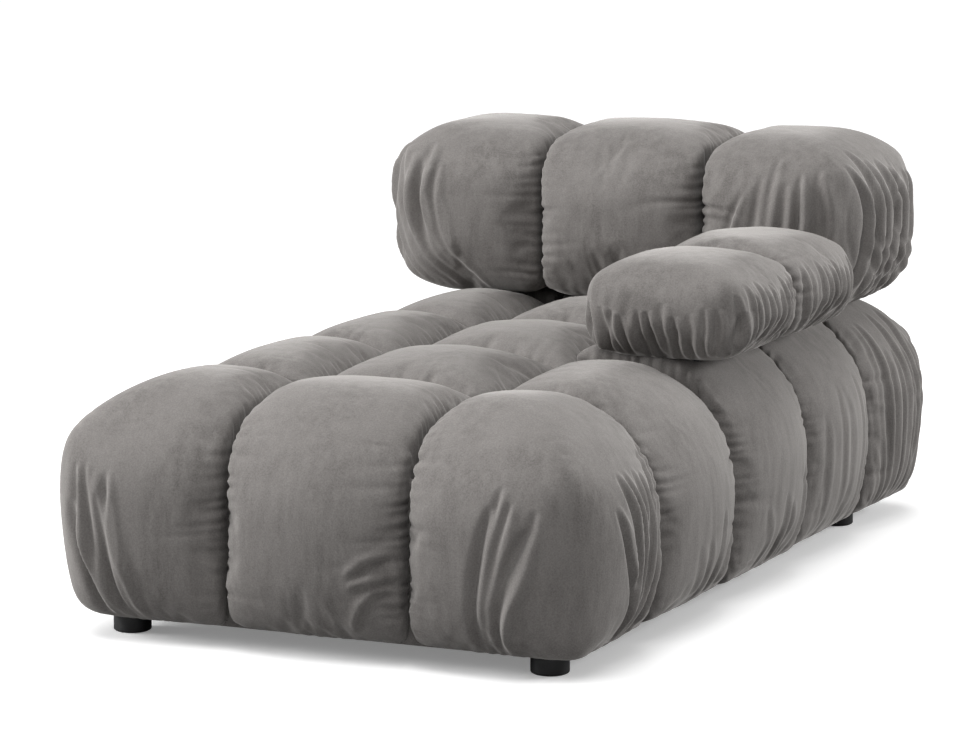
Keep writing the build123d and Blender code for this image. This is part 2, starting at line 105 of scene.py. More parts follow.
# ---------------------------------------------------------------- materials
class Shader:
    """A principled material with short calls for its nodes."""

    def __init__(self, name):
        self.material = bpy.data.materials.new(name)
        self.material.use_nodes = True
        self.tree = self.material.node_tree
        self.bsdf = self.tree.nodes["Principled BSDF"]
        self.position = self.node("ShaderNodeTexCoord").outputs["Object"]

    def node(self, kind, links=(), **settings):
        made = self.tree.nodes.new(kind)
        for key, value in settings.items():
            setattr(made, key, value)
        for socket, source in dict(links).items():
            self.tree.links.new(source, made.inputs[socket])
        return made

    def stretched(self, scale):
        made = self.node("ShaderNodeMapping", {"Vector": self.position})
        made.inputs["Scale"].default_value = scale
        return made.outputs["Vector"]

    def noise(self, scale, detail=2.0, vector=None, rough=0.5):
        made = self.node("ShaderNodeTexNoise", {"Vector": vector or self.position})
        made.inputs["Scale"].default_value = scale
        made.inputs["Detail"].default_value = detail
        made.inputs["Roughness"].default_value = rough
        return made.outputs["Fac"]

    def ramp(self, factor, stops):
        made = self.node("ShaderNodeValToRGB", {"Fac": factor})
        band = made.color_ramp
        while len(band.elements) < len(stops):
            band.elements.new(0.5)
        for element, (place, colour) in zip(band.elements, stops):
            element.position = place
            element.color = (*colour, 1)
        return made.outputs["Color"]

    def mix(self, factor, first, second):
        made = self.node("ShaderNodeMix", data_type="RGBA")
        for index, source in ((0, factor), (6, first), (7, second)):  # the colour mix's own sockets
            if isinstance(source, (int, float)):
                made.inputs[index].default_value = source
            elif isinstance(source, tuple):
                made.inputs[index].default_value = (*source, 1)
            else:
                self.tree.links.new(source, made.inputs[index])
        return made.outputs[2]

    def math(self, operation, first, second):
        made = self.node("ShaderNodeMath", operation=operation)
        for index, source in enumerate((first, second)):
            if isinstance(source, (int, float)):
                made.inputs[index].default_value = source
            else:
                self.tree.links.new(source, made.inputs[index])
        return made.outputs[0]

    def bump(self, height, strength, distance, normal=None):
        made = self.node("ShaderNodeBump", {"Height": height})
        made.inputs["Strength"].default_value = strength
        made.inputs["Distance"].default_value = distance
        if normal:
            self.tree.links.new(normal, made.inputs["Normal"])
        return made.outputs["Normal"]

    def set(self, **values):
        for key, value in values.items():
            socket = self.bsdf.inputs[key.replace("_", " ")]
            if isinstance(value, (int, float)):
                socket.default_value = value
            elif isinstance(value, tuple):
                socket.default_value = (*value, 1)
            else:
                self.tree.links.new(value, socket)


def velvet():
    """Warm grey pile: slow clouds, streaks where it is brushed the other way, and a fine grain."""
    s = Shader("velvet")
    cloud = s.noise(9, 3)
    streak = s.noise(55, 4, s.stretched((1, 1, 0.22)), 0.6)
    grain = s.noise(420, 2)
    dark, light, brushed = (0.112, 0.104, 0.099), (0.182, 0.171, 0.164), (0.196, 0.185, 0.177)
    grain_dark, grain_light = (0.11, 0.102, 0.096), (0.26, 0.246, 0.236)
    tone = s.ramp(cloud, [(0.30, dark), (0.68, light)])
    tone = s.mix(s.ramp(streak, [(0.38, (0, 0, 0)), (0.66, (1, 1, 1))]), tone, brushed)
    tone = s.mix(0.35, tone, s.ramp(grain, [(0.3, grain_dark), (0.7, grain_light)]))
    pile = s.bump(grain, 0.35, 0.0006)
    nap = s.bump(streak, 0.42, 0.002, pile)
    s.set(Base_Color=tone, Roughness=0.92, Sheen_Weight=0.42, Sheen_Roughness=0.40, Normal=nap)
    s.set(Sheen_Tint=(0.95, 0.92, 0.89), Specular_IOR_Level=0.15)
    return s.material


def grained(name, dark, light, grain_axis, rough):
    """Wood whose grain runs along the axis with the lowest scale."""
    s = Shader(name)
    along = s.noise(16, 5, s.stretched(grain_axis), 0.65)
    fine = s.noise(160, 3, s.stretched(grain_axis))
    tone = s.ramp(along, [(0.3, dark), (0.7, light)])
    tone = s.mix(0.3, tone, s.ramp(fine, [(0.35, dark), (0.65, light)]))
    s.set(Base_Color=tone, Roughness=rough, Normal=s.bump(fine, 0.3, 0.0006))
    return s.material


def speckled(name, dark, light, scale, rough, metallic=0.0, bump=0.0004, strength=0.2):
    """A plain material with fine speckles, and a roughness that drifts."""
    s = Shader(name)
    fine = s.noise(scale, 4)
    broad = s.noise(scale / 14, 3)
    tone = s.ramp(s.mix(0.5, fine, broad), [(0.35, dark), (0.65, light)])
    rough_low, rough_high = (rough - 0.08,) * 3, (rough + 0.08,) * 3
    s.set(Base_Color=tone, Metallic=metallic, Normal=s.bump(fine, strength, bump))
    s.set(Roughness=s.ramp(broad, [(0.3, rough_low), (0.7, rough_high)]))
    return s.material


VELVET = velvet()
TIMBER = grained("timber", (0.36, 0.22, 0.11), (0.62, 0.44, 0.25), (6, 1, 6), 0.6)
PLYWOOD = grained("plywood", (0.45, 0.31, 0.17), (0.68, 0.52, 0.33), (1, 5, 8), 0.55)
BLACK = (0.010, 0.010, 0.011)
STEEL = speckled("zinc_steel", (0.42, 0.42, 0.41), (0.62, 0.62, 0.6), 300, 0.36, 1.0)
SPRING = speckled("spring_steel", (0.10, 0.10, 0.105), (0.2, 0.2, 0.21), 300, 0.42, 1.0)
PLASTIC = speckled("black_plastic", BLACK, (0.019, 0.019, 0.020), 700, 0.42, 0.0, 0.0002, 0.3)
FELT = speckled("felt", (0.10, 0.10, 0.10), (0.24, 0.24, 0.24), 260, 0.95, 0.0, 0.001, 0.6)
NONWOVEN = speckled("underside_cloth", BLACK, (0.035, 0.035, 0.037), 420, 0.9, 0.0, 0.0006, 0.6)


def paper():
    """A white floor that the eye sees a little brighter than the light it throws back on the piece."""
    s = Shader("floor")
    tone = s.ramp(s.noise(40, 4), [(0.3, (0.93, 0.93, 0.93)), (0.7, (0.95, 0.95, 0.95))])
    seen = s.node("ShaderNodeLightPath").outputs["Is Camera Ray"]
    s.set(Base_Color=s.mix(seen, (0.33, 0.33, 0.33), tone), Roughness=0.8, Specular_IOR_Level=0.0)
    s.set(Emission_Color=(1.0, 1.0, 1.0), Emission_Strength=s.math("MULTIPLY", seen, 0.22))
    return s.material


FLOOR = paper()

# ---------------------------------------------------------------- floor
FLOOR_HALF = 60
floor_mesh = bpy.data.meshes.new("floor")
floor_corners = [(FLOOR_HALF * sx, FLOOR_HALF * sy, 0) for sx, sy in ((-1, -1), (1, -1), (1, 1), (-1, 1))]
floor_mesh.from_pydata(floor_corners, [], [(0, 1, 2, 3)])
floor = link("floor", floor_mesh)
floor_mesh.materials.append(FLOOR)


# ---------------------------------------------------------------- noise in numpy
HASH_STEPS = np.array([374761393, 668265263, 2147483647])
HASH_SEED, HASH_MIX = 974634777, 1274126177


def lattice_value(cell, seed):
    """A value from 0 to 1 for each whole-numbered cell."""
    mixed = (cell * HASH_STEPS).sum(axis=-1) + seed * HASH_SEED
    mixed = (mixed ^ (mixed >> 13)) * HASH_MIX
    mixed = mixed ^ (mixed >> 16)
    return (mixed & 0xFFFFFF) / 0xFFFFFF


def noise3(points, seed):
    """Smooth value noise from 0 to 1 at each point."""
    base = np.floor(points).astype(np.int64)
    part = points - base
    part = part * part * (3 - 2 * part)
    total = 0
    for corner in range(8):
        step = np.array([corner & 1, corner >> 1 & 1, corner >> 2 & 1])
        weight = np.where(step, part, 1 - part).prod(axis=-1)
        total = total + weight * lattice_value(base + step, seed)
    return total


def ramp01(value, low, high):
    """A smooth step from 0 at low to 1 at high; low may be the greater."""
    part = np.clip((value - low) / (high - low), 0, 1)
    return part * part * (3 - 2 * part)


# ---------------------------------------------------------------- pad shapes
GRID = 40  # squares along each side of a pad's face
EASE = 0.72  # how much the grid crowds toward a pad's edges
RAY_REACH, HALVINGS = 1.2, 18  # the search for a pad's surface, as a share of its half size
EVEN_PASSES, EVEN_SHARE = 5, 0.6  # evening out of the grid over the whole pad
TOP_SHARE = 0.7  # evening out of heights near the top, which takes facets away
PROUD = 0.010  # how far a free side's velvet stands out past the CAD box
REAR_PROUD = 0.3 * PROUD
EDGE_BLEND = 0.018  # width of the rounding where two of a pad's outlines meet
EDGE_BLEND_SHARE = 0.8


def choose(condition, when, otherwise):
    return when if condition else otherwise


def arch(a, b):
    """0 in the middle of a face and 1 at its rim, from two places in -1..1."""
    return 1 - (1 - a * a) * (1 - b * b)


def cube_lattice(n):
    """A cube's surface as an n by n grid on each face: points in -1..1, and quads."""
    index, points, quads = {}, [], []

    def vertex(key):
        if key not in index:
            index[key] = len(points)
            points.append(key)
        return index[key]

    for axis in range(3):
        for side in (0, n):
            for i in range(n):
                for j in range(n):
                    ring = [(i, j), (i + 1, j), (i + 1, j + 1), (i, j + 1)]
                    if (side == 0) != (axis == 1):
                        ring.reverse()
                    keys = [tuple(np.insert(pair, axis, side).tolist()) for pair in ring]
                    quads.append([vertex(key) for key in keys])
    return np.array(points) / n * 2 - 1, np.array(quads)


LATTICE, QUADS = cube_lattice(GRID)
NEIGHBOURS = [set() for _ in LATTICE]
for quad in QUADS:
    for here, after in zip(quad, np.roll(quad, -1)):
        NEIGHBOURS[here].add(after)
        NEIGHBOURS[after].add(here)
NEIGHBOURS = np.array([(list(n) * 2)[:4] if len(n) < 4 else list(n) for n in NEIGHBOURS])


def round_rectangle(a, b, half_a, half_b, radii):
    """Signed distance to a rectangle; the radii are for corners low low, high low, high high, low high."""
    radius = np.where(a > 0, np.where(b > 0, radii[2], radii[1]), np.where(b > 0, radii[3], radii[0]))
    over_a, over_b = np.abs(a) - half_a + radius, np.abs(b) - half_b + radius
    outside = np.hypot(np.maximum(over_a, 0), np.maximum(over_b, 0))
    return np.minimum(np.maximum(over_a, over_b), 0) + outside - radius


def blend_max(first, second):
    """The larger of two distances, rounded over where they are nearly the same and close to the surface."""
    near = np.maximum(EDGE_BLEND - np.abs(first - second), 0) / EDGE_BLEND
    shallow = ramp01(np.maximum(first, second), -0.06, -0.01)
    return np.maximum(first, second) + near**2 * EDGE_BLEND * 0.25 * shallow * EDGE_BLEND_SHARE


class Pad:
    """One stuffed pad: its box, the corner radii of its three outlines and the sides sewn to a neighbour."""

    def __init__(self, name, low, high, xz, yz, xy, seams, body, crown, bulge, flattened=False):
        self.name, self.body, self.seams, self.flattened = name, body, seams, flattened
        self.low, self.high = np.array(low, dtype=float), np.array(high, dtype=float)
        high_proud = choose(self.high[1] > 0.4, REAR_PROUD, PROUD)
        for axis, letter in enumerate("xy"):
            self.low[axis] -= PROUD if letter + "0" not in seams else 0
            self.high[axis] += high_proud if letter + "1" not in seams else 0
        self.centre, self.half = (self.low + self.high) / 2, (self.high - self.low) / 2
        self.xz, self.yz, self.xy, self.crown, self.bulge = xz, yz, xy, crown, bulge
        self.seed = sum(ord(letter) * (3 + place) for place, letter in enumerate(name))
        self.random = np.random.default_rng(self.seed)

    def field(self, points):
        """Signed distance to the stuffed shape: crowned on top, bulging on its free sides."""
        x, y, z = (points - self.centre).T
        ux, uy, uz = np.clip((points - self.centre) / self.half, -1, 1).T
        crown = np.where(z > 0, self.crown, self.crown * 0.3)
        z = z + np.sign(z) * crown * arch(ux, uy)
        x = x + np.sign(x) * self.free("x", x) * self.bulge * arch(uy, uz)
        y = y + np.sign(y) * self.free("y", y) * self.bulge * arch(ux, uz)
        hx, hy, hz = self.half
        front = round_rectangle(x, z, hx, hz, self.xz)
        side = round_rectangle(y, z, hy, hz, self.yz)
        return blend_max(blend_max(front, side), round_rectangle(x, y, hx, hy, self.xy))

    def free(self, axis, value):
        """1 on the sides of this axis that are not sewn to a neighbour."""
        low_free, high_free = (axis + "0") not in self.seams, (axis + "1") not in self.seams
        return np.where(value > 0, float(high_free), float(low_free))

    def surface(self):
        """The pad's vertices, found along rays from its middle."""
        rays = np.tan(LATTICE * EASE) / math.tan(EASE) * self.half
        near, far = np.zeros(len(rays)), np.full(len(rays), RAY_REACH)
        for _ in range(HALVINGS):
            middle = (near + far) / 2
            inside = self.field(self.centre + rays * middle[:, None]) < 0
            near, far = np.where(inside, middle, near), np.where(inside, far, middle)
        points = self.centre + rays * near[:, None]
        for _ in range(EVEN_PASSES):
            points = points * (1 - EVEN_SHARE) + points[NEIGHBOURS].mean(axis=1) * EVEN_SHARE
        for _ in range(self.top_passes()):
            mean = points[NEIGHBOURS].mean(axis=1)
            share = TOP_SHARE * ramp01(points[:, 2], self.high[2] - 0.07, self.high[2] - 0.02)[:, None]
            points[:, 2:] = points[:, 2:] * (1 - share) + mean[:, 2:] * share
        return points

    def top_passes(self):
        """How often the heights near the top are evened out: less where a rest lies on the pad."""
        if self.flattened:
            return 4
        return choose(self.body == "base", 24, 12)

    def gap(self, points, side):
        """Each point's distance in from one side of the pad, such as x0 or y1."""
        axis = "xyz".index(side[0])
        return self.high[axis] - points[:, axis] if side[1] == "1" else points[:, axis] - self.low[axis]

    def pins(self, points):
        """How firmly each vertex is held: fully on the sides against neighbours and on the underside."""
        held = np.zeros(len(points))
        if self.body == "base":
            held = ramp01(points[:, 2], self.low[2] + 0.02, self.low[2])
        for side in self.seams:
            held = np.maximum(held, ramp01(self.gap(points, side), 0.007, 0.002))
        return held


SEAT_LOW, SEAT_HIGH = (np.array(corner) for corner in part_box("seat_cover"))
COLUMN_EDGES = np.linspace(SEAT_LOW[0], SEAT_HIGH[0], 4)
ROW_EDGES = np.linspace(SEAT_LOW[1], SEAT_HIGH[1], 6)
SEWN = 0.006  # corner radius along a seam


def sewn_sides(**outer):
    """The sides that are not outer ones, so are sewn to a neighbour."""
    return {side for side, is_outer in outer.items() if not is_outer}


def seat_crown(left, near, under_rest):
    """How far the middle of a seat pad's top stands above its rim."""
    if under_rest:
        return choose(left, 0.0, 0.006)
    if near:
        return choose(left, 0.010, 0.018)
    return choose(left, 0.008, 0.021)


def seat_height(left, far, under_rest):
    """The top of a seat pad, before the rests press on it."""
    if far and left:
        return SEAT_HIGH[2] - 0.002
    return SEAT_HIGH[2] + choose(under_rest, 0.006, 0)


def seat_plan_radius(outer_x, outer_y):
    """A seat pad's corner seen from above: at the seat's corner, along its edge, or inside it."""
    return choose(outer_x and outer_y, 0.100, choose(outer_x or outer_y, 0.034, SEWN))


def seat_pads():
    pads = []
    for row in range(5):
        for column in range(3):
            left, right, near, far = column == 0, column == 2, row == 0, row == 4
            under_rest = far or (right and row in (2, 3))
            top_outer, top_sewn = choose(near, 0.184, 0.198), choose(under_rest, 0.015, 0.047)
            top_left, top_right = choose(left, top_outer, top_sewn), choose(right, top_outer, top_sewn)
            top_near, top_far = choose(near, top_outer, top_sewn), choose(far, top_outer, top_sewn)
            plan_far = (seat_plan_radius(right, far), seat_plan_radius(left, far))
            pads.append(Pad(
                f"seat_pad_row{row + 1}_column{column + 1}",
                low=(COLUMN_EDGES[column], ROW_EDGES[row], SEAT_LOW[2]),
                high=(COLUMN_EDGES[column + 1], ROW_EDGES[row + 1], seat_height(left, far, under_rest)),
                xz=(choose(left, 0.106, SEWN), choose(right, 0.062, SEWN), top_right, top_left),
                yz=(choose(near, 0.080, SEWN), choose(far, 0.080, SEWN), top_far, top_near),
                xy=(seat_plan_radius(left, near), seat_plan_radius(right, near), *plan_far),
                seams=sewn_sides(x0=left, x1=right, y0=near, y1=far),
                body="base",
                crown=seat_crown(left, near, under_rest),
                bulge=0.027,
                flattened=under_rest,
            ))
    return pads


BACK_LOW, BACK_HIGH = (np.array(corner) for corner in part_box("backrest_cover"))
ARM_LOW, ARM_HIGH = (np.array(corner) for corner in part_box("armrest_cover"))


def back_pads():
    edges = np.linspace(BACK_LOW[0], BACK_HIGH[0], 4)
    pads = []
    for column in range(3):
        left, right = column == 0, column == 2
        top_left = choose(left, 0.110, 0.034)
        top_right = choose(right, 0.124, 0.034)
        bottom_left = choose(left, 0.116, 0.018)
        bottom_right = choose(right, 0.092, 0.018)
        plan_left, plan_right = choose(left, 0.105, 0.034), choose(right, 0.105, 0.034)
        pads.append(Pad(
            f"backrest_pad_{column + 1}",
            low=(edges[column], BACK_LOW[1], BACK_LOW[2]),
            high=(edges[column + 1], BACK_HIGH[1], BACK_HIGH[2] + 0.007),
            xz=(bottom_left, bottom_right, top_right, top_left),
            yz=(0.080, 0.110, 0.130, 0.130),
            xy=(plan_left, plan_right, plan_right, plan_left),
            seams=sewn_sides(x0=left, x1=right),
            body="backrest",
            crown=0.008,
            bulge=0.026,
        ))
    return pads


def arm_pads():
    edges = np.linspace(ARM_LOW[1], ARM_HIGH[1], 3)
    pads = []
    for row in range(2):
        front = row == 0
        near, far = choose(front, 0.081, 0.034), choose(front, 0.034, 0.060)
        pads.append(Pad(
            f"armrest_pad_{row + 1}",
            low=(ARM_LOW[0], edges[row], ARM_LOW[2]),
            high=(ARM_HIGH[0], edges[row + 1], ARM_HIGH[2]),
            xz=(0.060, 0.060, 0.080, 0.080),
            yz=(choose(front, 0.060, near), far, far, near),
            xy=(near, near, far, far),
            seams=sewn_sides(y0=front, y1=not front),
            body="armrest",
            crown=0.014,
            bulge=0.012,
        ))
    return pads


PADS = seat_pads() + back_pads() + arm_pads()


def new_mesh(name, points, quads):
    mesh = bpy.data.meshes.new(name)
    mesh.from_pydata(points.tolist(), [], quads.tolist())
    mesh.update()
    return mesh


def coordinates(mesh):
    flat = np.empty(len(mesh.vertices) * 3)
    mesh.vertices.foreach_get("co", flat)
    return flat.reshape(-1, 3)


def normals(mesh):
    flat = np.empty(len(mesh.vertices) * 3)
    mesh.vertex_normals.foreach_get("vector", flat)
    return flat.reshape(-1, 3)


def smooth(piece):
    piece.data.polygons.foreach_set("use_smooth", np.ones(len(piece.data.polygons), dtype=bool))


def bake(piece):
    """Applies a piece's modifiers."""
    graph = bpy.context.evaluated_depsgraph_get()
    mesh = bpy.data.meshes.new_from_object(piece.evaluated_get(graph))
    piece.modifiers.clear()
    old = piece.data
    piece.data = mesh
    bpy.data.meshes.remove(old)


# ---------------------------------------------------------------- cloth simulation
CLOTH_FRAMES = 18
MOST_MOVE = 0.016  # the furthest the velvet may swell from its pad's shape


def simulate(pieces):
    """Inflates every pad's velvet, cut larger than the foam, with its sewn sides held."""
    for pad, piece in pieces:
        held = pad.pins(coordinates(piece.data))
        group = piece.vertex_groups.new(name="held")
        for vertex in np.nonzero(held > 0.01)[0]:
            group.add([int(vertex)], float(held[vertex]), "REPLACE")
        cloth = piece.modifiers.new("cloth", "CLOTH")
        cloth.settings.quality = 4
        cloth.settings.mass = 0.35
        cloth.settings.tension_stiffness = 12
        cloth.settings.compression_stiffness = 12
        cloth.settings.shear_stiffness = 4
        cloth.settings.bending_stiffness = 0.25
        cloth.settings.shrink_min = -0.025
        cloth.settings.use_pressure = True
        cloth.settings.uniform_pressure_force = 3.5
        cloth.settings.vertex_group_mass = "held"
        cloth.settings.effector_weights.gravity = 0
        cloth.collision_settings.use_collision = False
        cloth.point_cache.frame_end = CLOTH_FRAMES
    scene = bpy.context.scene
    for number in range(1, CLOTH_FRAMES + 1):
        scene.frame_set(number)
    graph = bpy.context.evaluated_depsgraph_get()
    moved = []
    for pad, piece in pieces:
        evaluated = piece.evaluated_get(graph)
        moved.append(coordinates(evaluated.to_mesh()))
        evaluated.to_mesh_clear()
    for (pad, piece), after in zip(pieces, moved):
        piece.modifiers.clear()
        before = coordinates(piece.data)
        move = after - before
        size = np.linalg.norm(move, axis=1, keepdims=True)
        move *= MOST_MOVE * np.tanh(size / MOST_MOVE) / np.maximum(size, 1e-9)
        piece.data.vertices.foreach_set("co", (before + move).ravel())
        piece.data.update()
    scene.frame_set(1)


# ---------------------------------------------------------------- gathers and folds
def around(pad, points, axis):
    """Distance round the pad across this axis, from its top middle, or from its front middle for axis 2."""
    first, second = {0: (1, 2), 1: (0, 2), 2: (0, 1)}[axis]
    half_wide, half_tall = pad.half[first], pad.half[second]
    wide = (points[:, first] - pad.centre[first]) / half_wide
    tall = (points[:, second] - pad.centre[second]) / half_tall * (-1 if axis == 2 else 1)
    side = np.sign(wide) * (half_wide + half_tall * (1 - tall))
    bottom = np.sign(wide) * (half_wide + 2 * half_tall + half_wide * (1 - np.abs(wide)))
    return np.where(np.abs(tall) >= np.abs(wide), np.where(tall > 0, wide * half_wide, bottom), side)


GATHERS = 200  # more than fit round any pad
SWELL_SHARE = 0.4  # the cloth stands up a little between the gathers
GROOVE_DEPTH, GROOVE_WIDTH = 0.005, 0.006  # the seam itself


def gathers(
    pad, points, side, depth=0.0066, short=0.018, long=0.080, pitch=0.0165, zone=None, sway=0.35, rare=2.2
):
    """Gathers square to one edge of the pad, uneven in pitch, depth and reach.

    They lie on a stretch of the edge, its zone, or all round. A higher rare makes long ones fewer.
    """
    gap = np.maximum(pad.gap(points, side), 0)
    along = around(pad, points, "xyz".index(side[0]))
    wander = noise3(np.stack([along * 11, gap * 7, along * 0], 1), pad.seed + ord(side[1])) - 0.5
    bent = along + wander * np.minimum(gap, 0.16) * sway
    steps = pad.random.uniform(0.6, 1.45, GATHERS) * pitch
    places = np.cumsum(steps) - 1.3
    depths = pad.random.uniform(0.2, 1.0, GATHERS)
    reaches = short + (long - short) * pad.random.uniform(0, 1, GATHERS) ** rare
    widths = pad.random.uniform(0.20, 0.32, GATHERS) * pitch
    nearest = np.clip(np.searchsorted(places, bent), 1, GATHERS - 1)
    total = np.zeros(len(points))
    for choice in (nearest - 1, nearest):
        wide = widths[choice] * (1 + 0.5 * np.minimum(gap / reaches[choice], 1.5))
        valley = np.exp(-(((bent - places[choice]) / wide) ** 2))
        total += depths[choice] * valley * np.exp(-((gap / reaches[choice]) ** 1.8))
    total *= 0.55 + 0.45 * ramp01(gap, 0.0, 0.010)
    swell = SWELL_SHARE * np.exp(-((gap / short) ** 2))
    groove = choose(zone, 0, GROOVE_DEPTH) * np.exp(-((gap / GROOVE_WIDTH) ** 2))
    shift = depth * (swell - total) - groove
    if zone:
        shift = shift * ramp01(along, zone[0], zone[0] + 0.04) * ramp01(along, zone[1], zone[1] - 0.04)
    return shift


FAR_AWAY = 9.0
RIDGE_HEIGHT, RIDGE_OFFSET, RIDGE_WIDTH = 0.8, 1.7, 1.1  # shares of a fold's depth and width


def crease(points, path, depth, width, plane):
    """A valley and its ridge that follow a path in one plane (two axis numbers), fading at both ends."""
    path = np.array(path)
    spot = points[:, list(plane)]
    bends = np.linspace(0, len(path) - 1, 4 * len(path))
    path = np.stack([smooth_path(path[:, k], bends) for k in range(2)], 1)
    lengths = np.linalg.norm(np.diff(path, axis=0), axis=1)
    starts = np.concatenate([[0], np.cumsum(lengths)])
    best, sided, place = np.full(len(points), FAR_AWAY), np.zeros(len(points)), np.zeros(len(points))
    for a, b, start, length in zip(path[:-1], path[1:], starts[:-1], lengths):
        step = (b - a) / length
        run = np.clip((spot - a) @ step, 0, length)
        offset = spot - a - run[:, None] * step
        distance = np.linalg.norm(offset, axis=1)
        closer = distance < best
        best = np.where(closer, distance, best)
        place = np.where(closer, (start + run) / starts[-1], place)
        sided = np.where(closer, offset @ np.array([-step[1], step[0]]), sided)
    fade = np.sin(np.pi * np.clip(place, 0.0, 1.0) ** 0.8) ** 0.8
    wide = width * (0.6 + 0.6 * fade)
    cut = -np.exp(-((best / wide) ** 2))
    ridge = np.exp(-(((sided - RIDGE_OFFSET * wide) / (RIDGE_WIDTH * wide)) ** 2))
    lip = RIDGE_HEIGHT * ridge * (best < 5 * width)
    return depth * fade * (cut + lip)


def smooth_path(values, places):
    """Catmull-Rom values between a fold's points."""
    padded = np.concatenate([[2 * values[0] - values[1]], values, [2 * values[-1] - values[-2]]])
    start = np.clip(np.floor(places).astype(int), 0, len(values) - 2)
    t = places - start
    a, b, c, d = (padded[start + k] for k in range(4))
    return 0.5 * (2 * b + (c - a) * t + (2 * a - 5 * b + 4 * c - d) * t**2 + (3 * b - a - 3 * c + d) * t**3)


